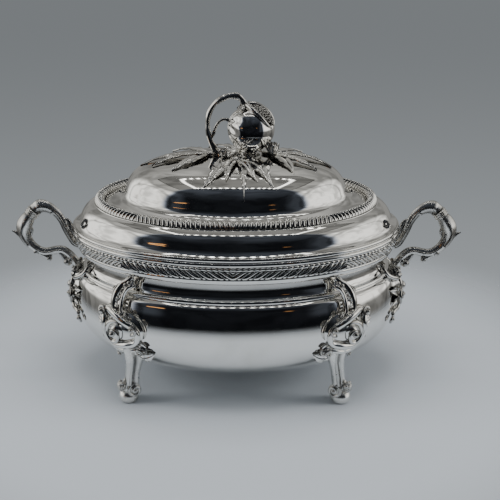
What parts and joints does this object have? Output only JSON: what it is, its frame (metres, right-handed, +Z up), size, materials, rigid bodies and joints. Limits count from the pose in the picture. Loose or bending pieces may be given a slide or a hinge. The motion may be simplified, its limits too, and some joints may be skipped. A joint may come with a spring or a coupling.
{
  "type": "soup tureen",
  "caption": "Oval footed soup tureen with a domed lift-off lid, fruit finial, lobed borders, shell-and-scroll feet and scrolled side handles.",
  "frame": {"origin": "on the table under the bowl's centre, level with the four foot pads", "axes": "+Z up, +X towards the right-hand handle along the oval's long axis, +Y towards the back"},
  "size_m": [0.4334, 0.2312, 0.2755],
  "materials": {
    "polished_silver": "mirror-polished silver plate",
    "cast_silver": "cast and chased silver plate, polished on its high places",
    "fitting_brass": "plain turned brass"
  },
  "bodies": {
    "tureen": {"bowl_gadroon_border": "cast_silver", "bowl_shell": "polished_silver", "foot_bracket_back_left": "cast_silver", "foot_bracket_back_right": "cast_silver", "foot_bracket_front_left": "cast_silver", "foot_bracket_front_right": "cast_silver", "foot_leg_back_left": "cast_silver", "foot_leg_back_right": "cast_silver", "foot_leg_front_left": "cast_silver", "foot_leg_front_right": "cast_silver", "foot_shell_back_left": "cast_silver", "foot_shell_back_right": "cast_silver", "foot_shell_front_left": "cast_silver", "foot_shell_front_right": "cast_silver", "handle_lower_arm_left": "cast_silver", "handle_lower_arm_right": "cast_silver", "handle_mount_left": "cast_silver", "handle_mount_right": "cast_silver", "handle_tie_left": "cast_silver", "handle_tie_right": "cast_silver", "handle_upper_arm_left": "cast_silver", "handle_upper_arm_right": "cast_silver"},
    "cover": {"finial_base": "cast_silver", "finial_bud_left": "cast_silver", "finial_bud_right": "cast_silver", "finial_fruit": "polished_silver", "finial_nut": "fitting_brass", "finial_seed_patch": "cast_silver", "finial_stud": "fitting_brass", "finial_tendril": "cast_silver", "finial_twig": "cast_silver", "finial_washer": "fitting_brass", "leaf_spray_back": "cast_silver", "leaf_spray_front": "cast_silver", "leaf_spray_left": "cast_silver", "leaf_spray_right": "cast_silver", "lid_bezel": "polished_silver", "lid_dome": "polished_silver", "lid_gadroon_border": "cast_silver", "lid_reeded_edge": "polished_silver", "lid_shoulder": "polished_silver"}
  },
  "joints": [
    {"name": "cover_lift", "type": "slide", "parent": "tureen", "child": "cover", "axis": [0, 0, 1], "range_m": [0, 0.2]}
  ]
}
